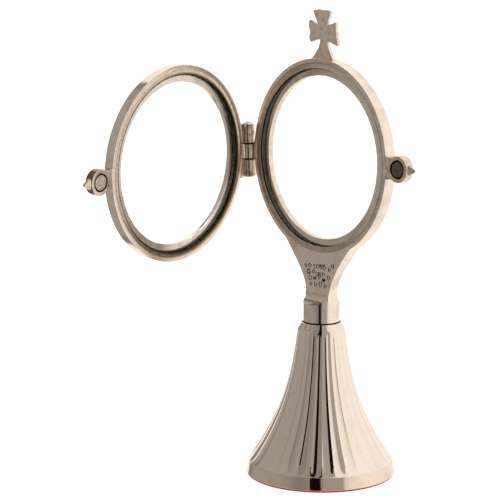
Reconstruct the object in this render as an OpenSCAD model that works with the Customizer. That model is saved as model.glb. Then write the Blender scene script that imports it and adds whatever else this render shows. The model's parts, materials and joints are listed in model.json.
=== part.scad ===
/* [Foot] */
// Diameter of the bell foot at the floor
foot_d = 60; // [50:1:70]
// Height of the plain band round the rim
rim_h = 5.3; // [3:0.1:7]
// Height of the bell above its felt
bell_h = 61.5; // [55:0.5:70]
// Wall thickness of the bell
bell_wall = 1.2; // [0.8:0.1:2]
// Thickness of the felt disc
felt_t = 0.8; // [0.5:0.1:1.5]

/* [Collar and neck] */
// Diameter of the collar on top of the bell
collar_d = 14.7; // [14:0.1:16]
// Height of the collar up to its rounded shoulder
collar_h = 7.5; // [5:0.5:9]
// Half width of the flat neck at its narrowest
neck_half = 6.8; // [6:0.1:7]
// Thickness of the flat neck
neck_t = 4.3; // [3.8:0.1:5]

/* [Round frame] */
// Outside radius of the frame and of the door
ring_r = 39; // [37:0.5:41]
// Height of the frame's centre above the felt
ring_lift = 127; // [125:0.5:130]
// Thickness of the frame, front to back
frame_t = 5.4; // [4.8:0.1:6.5]
// Radius of the window through the frame and the door
window_r = 32.2; // [30:0.1:32.5]
// Radius of the seat that each glass lies in
seat_r = 35.4; // [34.8:0.1:35.6]
// Outside radius of the slanted rings that hold the glass
bezel_r = 37.3; // [36.6:0.1:37.6]

/* [Door] */
// Thickness of the door, front to back
door_t = 4.4; // [3.8:0.1:5]
// Gap between the closed door and the frame
door_gap = 0.15; // [0.1:0.05:0.3]
// How far the door stands open
door_angle = 78.5; // [0:0.5:170]

/* [Hinge and catch] */
// Distance from the middle of the frame to the hinge axis
hinge_out = 42.3; // [42:0.1:43]
// Forward lean of the hinge axis, in degrees
hinge_lean = 3.3; // [0:0.1:4]
// Diameter of the hinge barrel
barrel_d = 5.4; // [4.4:0.1:5.6]
// Distance from the middle of the frame to each magnet
catch_out = 45.1; // [44.5:0.1:46]
// Diameter of the disc magnets
magnet_d = 6; // [5:0.1:6.2]

/* [Cross] */
// Distance from the middle of the cross to the end of a side arm
arm_len = 7.9; // [7.6:0.1:8.6]
// Thickness of the cross
cross_t = 1.5; // [1:0.1:2.5]

/* [Hidden] */

$fn = 96;
plate_color = [0.72, 0.66, 0.58];
seam_z = felt_t + bell_h;
shoulder_z = seam_z + collar_h;
ring_z = felt_t + ring_lift;
front_y = -frame_t / 2;
door_y = front_y - door_gap;
overrun = 1;

// Bell: a plain band, a flared profile and a small rounded shoulder
rim_top_r = foot_d / 2 - 1.1;
bell_neck_r = 9.6;
shoulder_drop = 3.2;
flare_steps = 20;
top_plate_t = 2;
function flare(t) = 0.3 * (1 - t) + 0.7 * pow(1 - t, 2.45);
function flare_r(t) = bell_neck_r + (rim_top_r - bell_neck_r) * flare(t);
function flare_z(t) = rim_h + (bell_h - shoulder_drop - rim_h) * t;
outer_profile = [
    [foot_d / 2, 0],
    for (i = [0 : flare_steps]) [flare_r(i / flare_steps), flare_z(i / flare_steps)],
    [bell_neck_r - 0.6, bell_h - 1.85],
    [bell_neck_r - 1.25, bell_h - 0.85],
    [collar_d / 2 + 0.4, bell_h],
    [0, bell_h],
    [0, 0]];
inner_top = bell_h - top_plate_t;
inner_profile = [
    [foot_d / 2 - bell_wall, -overrun],
    [rim_top_r - bell_wall, rim_h],
    for (i = [1 : flare_steps - 1]) [flare_r(i / flare_steps) - bell_wall, flare_z(i / flare_steps)],
    [bell_neck_r - bell_wall - 0.5, inner_top],
    [0, inner_top],
    [0, -overrun]];

// Tie that holds the bell to the collar
stud_r = 1.5;
stud_hole_r = 1.55;
stud_depth = 9;
washer_r = 4.5;
washer_t = 0.8;
nut_r = 3.05;
nut_t = 2.4;

// Glass and its holding rings
bezel_t = 0.75;
glass_t = 2;
glass_r = seat_r - 0.1;
bezel_lip = 0.3;
bezel_edge = 0.4;
bezel_flat = 0.4;
fit_gap = 0.03;
door_bezel_t = 1;
door_bezel_edge = 0.7;
door_glass_t = 1.6;

// Hinge stack along its axis, measured from the middle of the frame's knuckle
hinge_drop = 1;
knuckle_half = 3.1;
knuckle_gap = 0.2;
upper_len = 8.3;
lower_len = 7.7;
pin_r = 1.1;
running_gap = 0.05;
leaf_t = 1.7;
leaf_inset = 0.4;
hinge_at = [-hinge_out, front_y - door_gap / 2, ring_z - hinge_drop];
hinge_axis = [0, -sin(hinge_lean), cos(hinge_lean)];

// Catch
boss_r = 5.1;
boss_web = 4.1;
tip_from = 3.7;
tip_to = 7.8;
tip_r = 1.75;
tip_end_r = 0.2;
frame_boss_t = 4;
door_boss_t = 3.6;
magnet_t = 2;
magnet_sink = 0.12;
recess_r = magnet_d / 2 + 0.45;

// Cross pattee, measured from its middle
cross_z = felt_t + 175.6;
cross_front = 0.5;
cross_points = [
    [6.3, -11.5], [6.2, -10], [4.4, -7.2], [2.5, -3.1], [arm_len + 1, -4.6], [arm_len, 1], [arm_len, 4.5],
    [2.7, 3.1], [4.5, 8.3], [3.6, 9.1], [-1.6, 9], [-2.6, 9.3], [-5.5, 8.6], [-2.8, 3.5], [-arm_len, 4.9],
    [-arm_len - 0.2, 2.4], [-arm_len + 0.5, 0.6], [-arm_len, -2.4], [-6.7, -3.7], [-1.5, -2.4],
    [-1.3, -3.3], [-3.7, -7.4], [-6.3, -10.1], [-6.4, -11.5]];

// Flared neck, as a cubic curve from its narrowest place to the ring
neck_from = [neck_half, seam_z + 10.2];
neck_c1 = [neck_half, seam_z + 17.6];
neck_c2 = [13.1, ring_z - 41.4];
neck_to = [19.5, ring_z - 33.3];
neck_steps = 14;
function cubic(t) = pow(1 - t, 3) * neck_from + 3 * t * pow(1 - t, 2) * neck_c1
    + 3 * t * t * (1 - t) * neck_c2 + t * t * t * neck_to;
function neck_side(s) = [for (i = [0 : neck_steps]) [s * cubic(i / neck_steps)[0], cubic(i / neck_steps)[1]]];
function reversed(list) = [for (i = [len(list) - 1 : -1 : 0]) list[i]];
collar_r = collar_d / 2;
shoulder_r = 3;
function shoulder(s) = [
    for (a = [0 : 15 : 60]) [s * (collar_r - shoulder_r * (1 - cos(a))), shoulder_z + shoulder_r * sin(a)]];
function shoulder_side(s) = [for (p = shoulder(s)) if (s * p[0] >= neck_half) p];
neck_outline = concat(
    [[-collar_r, seam_z]], [[collar_r, seam_z]], shoulder_side(1), neck_side(1),
    reversed(neck_side(-1)), reversed(shoulder_side(-1)));

// Side view of the neck: a scoop front and back, a flat, then a taper out to the ring
scoop_r = 5.95;
scoop_z = seam_z + 13.2;
scoop_y = neck_t / 2 + scoop_r;
taper_low = seam_z + 18;
taper_high = ring_z - 37;
function scoop_low() = asin((scoop_y - collar_r) / scoop_r);
function scoop_side(s) = [
    for (i = [0 : 8])
        let (a = 90 - (90 - scoop_low()) * (8 - i) / 8)
            [s * (scoop_y - scoop_r * sin(a)), scoop_z - scoop_r * cos(a)]];
function neck_edge(s) = concat(
    [[s * collar_r, seam_z]], scoop_side(s),
    [[s * neck_t / 2, taper_low], [s * frame_t / 2, taper_high], [s * frame_t / 2, ring_z]]);

// Draws children, given as an X-Z outline, as an upright plate from y0 to y1
module upright(y0, y1) {
    translate([0, y1, 0])
        rotate([90, 0, 0])
            linear_extrude(y1 - y0)
                children();
}

// A disc with its axis along Y, centred on the frame, from y0 to y1
module disc(r, y0, y1) {
    translate([0, y1, ring_z])
        rotate([90, 0, 0])
            cylinder(h = y1 - y0, r = r);
}

// A ring whose face slants in to a short upright edge beside the glass
module bezel(depth, edge) {
    rotate_extrude()
        polygon([
            [bezel_r - bezel_flat, 0],
            [bezel_r - fit_gap, 0],
            [bezel_r - fit_gap, depth],
            [seat_r - bezel_lip, depth],
            [seat_r - bezel_lip, depth - edge]]);
}

// Puts the closed door's pieces where they are when it stands open
module door_pose() {
    translate(hinge_at)
        rotate(a = -door_angle, v = hinge_axis)
            translate(-hinge_at)
                children();
}

// Everything in here is drawn about the hinge axis
module on_hinge() {
    translate(hinge_at)
        rotate([hinge_lean, 0, 0])
            children();
}

module knuckle(z0, z1, bore_r, leaf_y) {
    difference() {
        union() {
            on_hinge()
                translate([0, 0, z0])
                    cylinder(h = z1 - z0, r = barrel_d / 2);
            on_hinge()
                translate([0, leaf_y, z0])
                    cube([hinge_out - ring_r + 2, leaf_t, z1 - z0]);
        }
        on_hinge()
            translate([0, 0, z0 - overrun])
                cylinder(h = z1 - z0 + 2 * overrun, r = bore_r);
        disc(ring_r + fit_gap, -20, 20);
    }
}

module boss_blank(y0, y1) {
    upright(y0, y1)
        translate([catch_out, ring_z])
            circle(r = boss_r);
    upright(y0, y1)
        translate([ring_r - 2, ring_z - boss_web])
            square([catch_out - ring_r + 2, 2 * boss_web]);
    translate([catch_out + tip_from, (y0 + y1) / 2, ring_z])
        rotate([0, 90, 0])
            cylinder(h = tip_to - tip_from, r1 = tip_r, r2 = tip_end_r);
}

module catch_boss(y0, y1, recess_y0, recess_y1) {
    difference() {
        boss_blank(y0, y1);
        disc(ring_r + fit_gap, -20, 20);
        translate([catch_out, recess_y1, ring_z])
            rotate([90, 0, 0])
                cylinder(h = recess_y1 - recess_y0, r = recess_r);
    }
}

module magnet(y0, y1) {
    translate([catch_out, y1, ring_z])
        rotate([90, 0, 0])
            cylinder(h = y1 - y0, r = magnet_d / 2);
}

module base_bell() {
    color(plate_color)
        translate([0, 0, felt_t])
            difference() {
                rotate_extrude() polygon(outer_profile);
                rotate_extrude() polygon(inner_profile);
                cylinder(h = bell_h + overrun, r = stud_hole_r);
            }
}

module base_felt() {
    color("firebrick")
        cylinder(h = felt_t, r = foot_d / 2 - 0.4);
}

module tie_stud() {
    stud_low = felt_t + inner_top - washer_t - nut_t - 0.8;
    color("silver")
        translate([0, 0, stud_low])
            cylinder(h = seam_z + stud_depth - stud_low, r = stud_r);
}

module stud_washer() {
    color("silver")
        translate([0, 0, felt_t + inner_top - washer_t])
            difference() {
                cylinder(h = washer_t, r = washer_r);
                translate([0, 0, -overrun]) cylinder(h = washer_t + 2 * overrun, r = stud_hole_r);
            }
}

module stud_nut() {
    color("silver")
        translate([0, 0, felt_t + inner_top - washer_t - nut_t])
            difference() {
                cylinder(h = nut_t, r = nut_r, $fn = 6);
                translate([0, 0, -overrun]) cylinder(h = nut_t + 2 * overrun, r = stud_hole_r);
            }
}

// Collar and flat neck in one: the front view and the side view of it, crossed, with a round foot
module neck() {
    intersection() {
        upright(-collar_r, collar_r)
            polygon(neck_outline);
        translate([-20, 0, 0])
            rotate([90, 0, 90])
                linear_extrude(40)
                    polygon(concat(neck_edge(1), reversed(neck_edge(-1))));
        union() {
            translate([0, 0, seam_z])
                cylinder(h = scoop_z - seam_z, r = collar_r);
            translate([-20, -5, scoop_z - 1])
                cube([40, 10, ring_z - scoop_z]);
        }
    }
}

module main_frame() {
    color(plate_color)
        difference() {
            union() {
                disc(ring_r, front_y, front_y + frame_t);
                neck();
            }
            disc(window_r, front_y - overrun, front_y + frame_t + overrun);
            disc(seat_r, front_y - overrun, front_y + bezel_t + glass_t);
            disc(bezel_r, front_y - overrun, front_y + bezel_t);
            translate([0, 0, seam_z - overrun])
                cylinder(h = stud_depth + 2 * overrun, r = stud_hole_r);
        }
}

module frame_glass() {
    color([0.75, 0.85, 0.8, 0.35])
        disc(glass_r, front_y + bezel_t, front_y + bezel_t + glass_t);
}

module frame_bezel() {
    color(plate_color)
        translate([0, front_y, ring_z])
            rotate([-90, 0, 0])
                bezel(bezel_t, bezel_edge);
}

module cross_finial() {
    color(plate_color)
        difference() {
            upright(-cross_front, cross_t - cross_front)
                translate([0, cross_z])
                    polygon(cross_points);
            disc(ring_r + fit_gap, -20, 20);
        }
}

module frame_catch_boss() {
    color(plate_color)
        catch_boss(front_y, front_y + frame_boss_t, front_y - overrun, front_y + magnet_sink + magnet_t);
}

module frame_magnet() {
    color("gray")
        magnet(front_y + magnet_sink, front_y + magnet_sink + magnet_t);
}

module frame_hinge_knuckle() {
    color(plate_color)
        knuckle(-knuckle_half, knuckle_half, pin_r + 0.01, leaf_inset);
}

module hinge_pin() {
    color("dimgray")
        on_hinge()
            translate([0, 0, -knuckle_half - knuckle_gap - lower_len + 0.2])
                cylinder(h = 2 * knuckle_half + 2 * knuckle_gap + lower_len + upper_len - 0.4, r = pin_r);
}

module door_ring() {
    color(plate_color)
        door_pose()
            difference() {
                disc(ring_r, door_y - door_t, door_y);
                disc(window_r, door_y - door_t - overrun, door_y + overrun);
                disc(seat_r, door_y - door_bezel_t - door_glass_t, door_y + overrun);
                disc(bezel_r, door_y - door_bezel_t, door_y + overrun);
            }
}

module door_glass() {
    color([0.75, 0.85, 0.8, 0.35])
        door_pose()
            disc(glass_r, door_y - door_bezel_t - door_glass_t, door_y - door_bezel_t);
}

module door_bezel() {
    color(plate_color)
        door_pose()
            translate([0, door_y, ring_z])
                rotate([90, 0, 0])
                    bezel(door_bezel_t, door_bezel_edge);
}

module door_upper_knuckle() {
    z0 = knuckle_half + knuckle_gap;
    color(plate_color)
        door_pose()
            knuckle(z0, z0 + upper_len, pin_r + running_gap, -leaf_inset - leaf_t);
}

module door_lower_knuckle() {
    z1 = -knuckle_half - knuckle_gap;
    color(plate_color)
        door_pose()
            knuckle(z1 - lower_len, z1, pin_r + running_gap, -leaf_inset - leaf_t);
}

module door_catch_boss() {
    color(plate_color)
        door_pose()
            catch_boss(door_y - door_boss_t, door_y, door_y - magnet_sink - magnet_t, door_y + overrun);
}

module door_magnet() {
    color("gray")
        door_pose()
            magnet(door_y - magnet_sink - magnet_t, door_y - magnet_sink);
}

base_bell();
base_felt();
tie_stud();
stud_washer();
stud_nut();
main_frame();
frame_glass();
frame_bezel();
cross_finial();
frame_catch_boss();
frame_magnet();
frame_hinge_knuckle();
hinge_pin();
door_ring();
door_glass();
door_bezel();
door_upper_knuckle();
door_lower_knuckle();
door_catch_boss();
door_magnet();
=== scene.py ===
import json
import math

import bmesh
import bpy
from bpy.props import FloatProperty, FloatVectorProperty, IntProperty, PointerProperty
from mathutils import Matrix, Vector


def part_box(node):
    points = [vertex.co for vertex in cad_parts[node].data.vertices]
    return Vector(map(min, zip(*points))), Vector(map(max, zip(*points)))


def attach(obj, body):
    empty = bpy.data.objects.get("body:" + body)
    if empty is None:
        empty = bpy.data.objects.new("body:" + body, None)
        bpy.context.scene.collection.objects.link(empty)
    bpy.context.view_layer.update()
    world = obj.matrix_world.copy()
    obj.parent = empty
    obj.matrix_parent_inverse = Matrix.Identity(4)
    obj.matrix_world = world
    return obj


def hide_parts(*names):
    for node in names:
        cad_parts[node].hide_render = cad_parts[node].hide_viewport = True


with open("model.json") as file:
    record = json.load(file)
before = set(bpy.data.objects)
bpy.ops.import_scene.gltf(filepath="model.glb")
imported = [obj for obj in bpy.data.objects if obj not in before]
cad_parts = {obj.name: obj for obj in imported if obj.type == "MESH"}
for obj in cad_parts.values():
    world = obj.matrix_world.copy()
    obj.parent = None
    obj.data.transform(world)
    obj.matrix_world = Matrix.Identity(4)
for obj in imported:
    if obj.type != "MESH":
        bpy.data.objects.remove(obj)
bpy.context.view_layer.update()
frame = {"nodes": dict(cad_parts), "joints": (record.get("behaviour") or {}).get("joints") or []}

bl_info = {
    "name": "Tabletop Monstrance",
    "version": (1, 0, 0),
    "blender": (4, 5, 0),
    "location": "View3D > Sidebar > Monstrance",
    "description": "Builds a small monstrance with a fluted foot and a hinged glazed door",
    "category": "Object",
}

MM = 0.001

# ---------------------------------------------------------------- measures from the model

HINGE = frame["joints"][0]
HINGE_AT = Vector(HINGE["pos_m"])
HINGE_AXIS = Vector(HINGE["axis"]).normalized()
CLOSING_TURN = math.radians(HINGE["range_deg"][1])
OPEN_DOOR = (
    Matrix.Translation(HINGE_AT)
    @ Matrix.Rotation(-CLOSING_TURN, 4, HINGE_AXIS)
    @ Matrix.Translation(-HINGE_AT)
)
LEAN = Matrix.Translation(HINGE_AT) @ Vector((0, 0, 1)).rotation_difference(HINGE_AXIS).to_matrix().to_4x4()


def size(node):
    """Width, depth and height of a CAD node."""
    low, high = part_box(node)
    return high - low


def middle(node):
    """Centre of a CAD node's box."""
    low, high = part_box(node)
    return (low + high) / 2


def closed_box(node):
    """Corners of a door node with the door shut, in metres."""
    back = OPEN_DOOR.inverted()
    spots = [back @ v.co for v in frame["nodes"][node].data.vertices]
    low = Vector([min(p[i] for p in spots) for i in range(3)])
    high = Vector([max(p[i] for p in spots) for i in range(3)])
    return low, high


def stack_span(node, turn=None):
    """Lowest and highest place of a hinge node along the hinge axis, measured from HINGE_AT."""
    back = LEAN.inverted() @ (turn or Matrix.Identity(4))
    heights = [(back @ v.co).z for v in frame["nodes"][node].data.vertices]
    return min(heights), max(heights)


FIT_GAP = 0.03 * MM
SEAM_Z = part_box("base_bell")[1].z
FOOT_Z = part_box("base_bell")[0].z
FOOT_R = size("base_bell").x / 2
RING_Z = middle("frame_glass").z
RING_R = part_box("main_frame")[1].z - RING_Z
COLLAR_R = size("main_frame").y / 2
FRONT_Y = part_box("frame_bezel")[0].y
FRAME_T = -2 * FRONT_Y
GLASS_R = size("frame_glass").z / 2
BEZEL_T = size("frame_bezel").y
GLASS_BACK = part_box("frame_glass")[1].y
SEAT_R = GLASS_R + 0.1 * MM
BEZEL_R = size("frame_bezel").z / 2 + FIT_GAP
WINDOW_R = SEAT_R - 3.2 * MM
DOOR_Y = closed_box("door_ring")[1].y
DOOR_T = DOOR_Y - closed_box("door_ring")[0].y
DOOR_BEZEL_T = closed_box("door_bezel")[1].y - closed_box("door_bezel")[0].y
DOOR_GLASS_BACK = closed_box("door_glass")[0].y
CATCH = Vector((middle("frame_magnet").x, 0, middle("frame_magnet").z))
MAGNET_R = size("frame_magnet").z / 2
BARREL_R = HINGE_AT.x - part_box("frame_hinge_knuckle")[0].x
CROSS_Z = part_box("cross_finial")[1].z - 9.3 * MM
CROSS_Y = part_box("cross_finial")[0].y
CROSS_T = size("cross_finial").y
BELL_WALL = 1.2 * MM
BELL_TOP_R = 9.6 * MM
NECK_HALF = 6.8 * MM
NECK_FLAT_Z = SEAM_Z + 19.5 * MM
NECK_TAPER_Z = RING_Z - 38.4 * MM
BOSS_R = 5.1 * MM
BORE_R = 1.14 * MM
RING_STEPS = 192
HALF_FLUTE = 5
FLUTE_STEPS = 2 * HALF_FLUTE

# How far in from the bell's neck and how far down from its seam its shoulder's steps are, in millimetres
SHOULDER_STEPS = (
    (0.1, 2.75), (0.3, 2.3), (0.6, 1.85), (0.95, 1.35), (1.25, 0.85), (1.45, 0.5), (1.6, 0.32), (1.85, 0.24))


# ---------------------------------------------------------------- bench tools


def clear_selection():
    if bpy.context.mode != "OBJECT":
        bpy.ops.object.mode_set(mode="OBJECT")
    bpy.ops.object.select_all(action="DESELECT")


def pick_up(piece):
    clear_selection()
    piece.select_set(True)
    bpy.context.view_layer.objects.active = piece


def open_mesh():
    """Edit mode on the active piece, with everything selected."""
    bpy.ops.object.mode_set(mode="EDIT")
    bpy.ops.mesh.select_mode(type="VERT")
    bpy.ops.mesh.select_all(action="SELECT")


def close_mesh():
    """Merges doubles, turns the faces outwards and leaves edit mode."""
    bpy.ops.mesh.select_all(action="SELECT")
    bpy.ops.mesh.remove_doubles(threshold=0.000002)
    bpy.ops.mesh.normals_make_consistent(inside=False)
    bpy.ops.object.mode_set(mode="OBJECT")


def name_piece(name):
    piece = bpy.context.object
    piece.name = name
    piece.data.name = name
    return piece


def choose(piece, test, kind="FACE"):
    """Selects the faces, edges or vertices that pass the test, in edit mode."""
    bpy.ops.mesh.select_mode(type=kind)
    bpy.ops.mesh.select_all(action="DESELECT")
    mesh = bmesh.from_edit_mesh(piece.data)
    parts = {"FACE": mesh.faces, "EDGE": mesh.edges, "VERT": mesh.verts}[kind]
    found = 0
    for part in parts:
        if test(part):
            part.select_set(True)
            found += 1
    mesh.select_flush_mode()
    bmesh.update_edit_mesh(piece.data)
    return found


def place(piece, matrix):
    """Puts the piece at its place and makes that its mesh's own place."""
    piece.matrix_world = matrix @ piece.matrix_world
    settle(piece)


def settle(piece):
    """Applies the piece's place, turn and size to its mesh."""
    pick_up(piece)
    bpy.ops.object.transform_apply(location=True, rotation=True, scale=True)


def turned(name, profile, steps, solid=True):
    """A body turned about Z along (radius, height) steps; a ring comes back to its first step."""
    clear_selection()
    radius, height = profile[0]
    bpy.ops.mesh.primitive_circle_add(
        vertices=steps,
        radius=radius,
        fill_type="NGON" if solid else "NOTHING",
        location=(0, 0, height),
    )
    piece = name_piece(name)
    open_mesh()
    way = profile[1:] if solid else profile[1:] + profile[:1]
    for next_radius, next_height in way:
        bpy.ops.mesh.extrude_region_move(TRANSFORM_OT_translate={"value": (0, 0, next_height - height)})
        grow = next_radius / radius
        if abs(grow - 1) > 1e-9:
            bpy.ops.transform.resize(value=(grow, grow, 1), center_override=(0, 0, next_height))
        radius, height = next_radius, next_height
    close_mesh()
    settle(piece)
    return piece


def faced(name, profile, steps, solid=True):
    """A body turned about the frame's own axis; heights are places along Y."""
    piece = turned(name, profile, steps, solid)
    place(piece, Matrix.Translation((0, 0, RING_Z)) @ Matrix.Rotation(math.radians(-90), 4, "X"))
    return piece


def plate(name, outline, low_y, high_y):
    """A flat plate drawn corner by corner in X and Z, then drawn out along Y."""
    clear_selection()
    x, z = outline[0]
    bpy.ops.mesh.primitive_plane_add(size=MM, location=(x, low_y, z))
    piece = name_piece(name)
    open_mesh()
    bpy.ops.mesh.merge(type="CENTER")
    for next_x, next_z in outline[1:] + outline[:1]:
        bpy.ops.mesh.extrude_vertices_move(
            TRANSFORM_OT_translate={"value": (next_x - x, 0, next_z - z)}
        )
        x, z = next_x, next_z
    bpy.ops.mesh.select_all(action="SELECT")
    bpy.ops.mesh.remove_doubles(threshold=0.000002)
    bpy.ops.mesh.edge_face_add()
    bpy.ops.mesh.select_all(action="SELECT")
    bpy.ops.mesh.extrude_region_move(TRANSFORM_OT_translate={"value": (0, high_y - low_y, 0)})
    close_mesh()
    settle(piece)
    return piece


def join_solid(piece, other, how="UNION"):
    """Welds on or cuts away another solid, which is used up."""
    pick_up(piece)
    bpy.ops.object.modifier_add(type="BOOLEAN")
    change = piece.modifiers[-1]
    change.operation = how
    change.solver = "EXACT"
    change.object = other
    bpy.ops.object.modifier_apply(modifier=change.name)
    bpy.data.objects.remove(other)


def cut_ring_space(piece, reach=20 * MM):
    """Cuts away what would lie inside the frame's or the shut door's outside."""
    radius = RING_R - 0.02 * MM
    join_solid(piece, faced("ring_space", [(radius, -reach), (radius, reach)], RING_STEPS), "DIFFERENCE")


def soften(piece, width, segments=2, angle=35):
    """Rounds the sharp edges."""
    pick_up(piece)
    bpy.ops.object.modifier_add(type="BEVEL")
    change = piece.modifiers[-1]
    change.width = width
    change.segments = segments
    change.limit_method = "ANGLE"
    change.angle_limit = math.radians(angle)
    change.use_clamp_overlap = True
    bpy.ops.object.modifier_apply(modifier=change.name)


def polish(piece, angle=32):
    """Smooth shading that keeps the sharp edges and the flat faces flat."""
    pick_up(piece)
    bpy.ops.object.shade_smooth_by_angle(angle=math.radians(angle))
    bpy.ops.object.modifier_add(type="WEIGHTED_NORMAL")
    change = piece.modifiers[-1]
    change.keep_sharp = True
    bpy.ops.object.modifier_apply(modifier=change.name)


def coat(piece, *materials):
    """Gives the piece its materials, the first one all over."""
    piece.data.materials.clear()
    for material in materials:
        piece.data.materials.append(material)
    pick_up(piece)
    bpy.ops.object.mode_set(mode="EDIT")
    bpy.ops.mesh.select_all(action="SELECT")
    piece.active_material_index = 0
    bpy.ops.object.material_slot_assign()
    bpy.ops.object.mode_set(mode="OBJECT")


def coat_where(piece, index, test):
    """Assigns one of the piece's materials to the faces that pass the test."""
    pick_up(piece)
    bpy.ops.object.mode_set(mode="EDIT")
    if choose(piece, test):
        piece.active_material_index = index
        bpy.ops.object.material_slot_assign()
    bpy.ops.object.mode_set(mode="OBJECT")


def hand_in(piece, body, slot, *nodes):
    """Says what the piece rides on, its finish's slot and the CAD nodes that it stands for."""
    settle(piece)
    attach(piece, body)
    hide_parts(*nodes)
    clear_selection()


def hang_door(piece):
    """Swings a piece of the shut door to where the door stands open."""
    place(piece, OPEN_DOOR)


def add(tree, kind, **settings):
    node = tree.nodes.new(kind)
    for key, value in settings.items():
        setattr(node, key, value)
    return node


def feed(tree, socket, value):
    """Wires a socket from another one, or sets its own number or colour."""
    if isinstance(value, bpy.types.NodeSocket):
        tree.links.new(value, socket)
    elif socket.type == "RGBA":
        socket.default_value = (*value, 1)
    else:
        socket.default_value = value


def fill(tree, node, inputs):
    """Wires or sets the node's named inputs."""
    for key, value in inputs.items():
        feed(tree, node.inputs[key], value)


def fed(tree, kind, inputs, **settings):
    """A new node with its named inputs wired or set."""
    node = add(tree, kind, **settings)
    fill(tree, node, inputs)
    return node


def worked(tree, operation, *terms, kind="ShaderNodeMath", result="Value", **settings):
    """The result of a sum; its terms are sockets or values."""
    node = add(tree, kind, operation=operation, **settings)
    for socket, term in zip(node.inputs, terms):
        feed(tree, socket, term)
    return node.outputs[result]


def mixed(tree, factor, low, high):
    """A colour between two others; each of the three is a socket or a value."""
    mix = fed(tree, "ShaderNodeMix", {"Factor": factor, "A": low, "B": high}, data_type="RGBA")
    return mix.outputs["Result"]


def ranged(tree, value, from_low, from_high, to_low, to_high, ease="LINEAR"):
    """The value moved from one range to another and kept inside it."""
    span = {"From Min": from_low, "From Max": from_high, "To Min": to_low, "To Max": to_high}
    inputs = {"Value": value, **span}
    return fed(tree, "ShaderNodeMapRange", inputs, interpolation_type=ease).outputs["Result"]


def bumped(tree, height, depth, under=None):
    """A bump of this depth, on top of another normal where one is given."""
    bump = fed(tree, "ShaderNodeBump", {"Strength": 1.0, "Distance": depth, "Height": height})
    if under is not None:
        tree.links.new(under, bump.inputs["Normal"])
    return bump.outputs["Normal"]


def toned(colour, fades):
    """The colour with its three parts scaled, each by its own number or all by one."""
    fades = fades if isinstance(fades, tuple) else (fades,) * 3
    return tuple(part * fade for part, fade in zip(colour, fades))


def group(name, takes, gives):
    """A new node group with named sockets, its input node and its output node."""
    tree = bpy.data.node_groups.new(name, "ShaderNodeTree")
    for label, kind, value in takes:
        socket = tree.interface.new_socket(label, in_out="INPUT", socket_type=kind)
        if value is not None:
            socket.default_value = value
    for label in gives:
        tree.interface.new_socket(label, in_out="OUTPUT", socket_type=FLOAT)
    return tree, add(tree, "NodeGroupInput"), add(tree, "NodeGroupOutput")


VECTOR = "NodeSocketVector"
FLOAT = "NodeSocketFloat"
VECTOR_MATHS = "ShaderNodeVectorMath"
NOISE = "ShaderNodeTexNoise"


def tarnish_group():
    """Cloudy tarnish and small dark spots, as a mask from 0 to 1."""
    tree, start, end = group(
        "Tarnish",
        [("Vector", VECTOR, None), ("Scale", FLOAT, 200.0), ("Spots", FLOAT, 0.3), ("Amount", FLOAT, 0.5)],
        ["Mask", "Clouds"],
    )
    vector, scale, spots, amount = start.outputs[:4]
    clouds = fed(tree, NOISE, {"Vector": vector, "Scale": scale, "Detail": 5.0, "Roughness": 0.6})
    finer = worked(tree, "MULTIPLY", scale, 4.0)
    cells = fed(tree, "ShaderNodeTexVoronoi", {"Vector": vector, "Scale": finer, "Randomness": 1.0})
    band = ranged(tree, clouds.outputs["Fac"], 0.45, 0.72, 0, 1, "SMOOTHSTEP")
    dots = ranged(tree, cells.outputs["Distance"], 0.16, 0.06, 0, 1, "SMOOTHSTEP")
    both = worked(tree, "ADD", band, worked(tree, "MULTIPLY", dots, spots), use_clamp=True)
    mask = worked(tree, "MULTIPLY", both, amount)
    fill(tree, end, {"Mask": mask, "Clouds": clouds.outputs["Fac"]})
    return tree


def brushing_group():
    """Fine straight brush marks along one direction, as a height from 0 to 1."""
    tree, start, end = group(
        "Brushing",
        [("Vector", VECTOR, None), ("Turn", VECTOR, (0, 0, 0)), ("Squash", VECTOR, (60, 60, 2500))],
        ["Height"],
    )
    vector, turn, squash = start.outputs[:3]
    turning = {"Vector": vector, "Rotation": turn}
    turned_way = fed(tree, "ShaderNodeVectorRotate", turning, rotation_type="EULER_XYZ").outputs[0]
    stretched = worked(tree, "MULTIPLY", turned_way, squash, kind=VECTOR_MATHS, result="Vector")
    marks = fed(tree, NOISE, {"Vector": stretched, "Scale": 1.0, "Detail": 4.0, "Roughness": 0.65})
    fill(tree, end, {"Height": marks.outputs["Fac"]})
    return tree


def lathe_group():
    """Rings about an axis, as a distance in metres and fine turning lines from 0 to 1."""
    tree, start, end = group(
        "Lathe Lines",
        [("Vector", VECTOR, None), ("Centre", VECTOR, (0, 0, 0)), ("Axis", VECTOR, (0, 1, 0)),
         ("Lines", FLOAT, 3000.0)],
        ["Distance", "Height"],
    )
    vector, centre, axis, lines = start.outputs[:4]
    away = worked(tree, "SUBTRACT", vector, centre, kind=VECTOR_MATHS, result="Vector")
    cross = worked(tree, "CROSS_PRODUCT", away, axis, kind=VECTOR_MATHS, result="Vector")
    distance = worked(tree, "LENGTH", cross, kind=VECTOR_MATHS)
    along = worked(tree, "MULTIPLY", distance, lines)
    rings = fed(tree, NOISE, {"W": along, "Scale": 1.0, "Detail": 3.0}, noise_dimensions="1D")
    fill(tree, end, {"Distance": distance, "Height": rings.outputs["Fac"]})
    return tree


def ripple_group():
    """The soft waviness that hand polishing leaves, as a height from 0 to 1."""
    tree, start, end = group(
        "Polishing Ripple", [("Vector", VECTOR, None), ("Scale", FLOAT, 150.0)], ["Height"])
    vector, scale = start.outputs[:2]
    wave = fed(tree, NOISE, {"Vector": vector, "Scale": scale, "Detail": 1.5, "Roughness": 0.4})
    fill(tree, end, {"Height": wave.outputs["Fac"]})
    return tree


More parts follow.
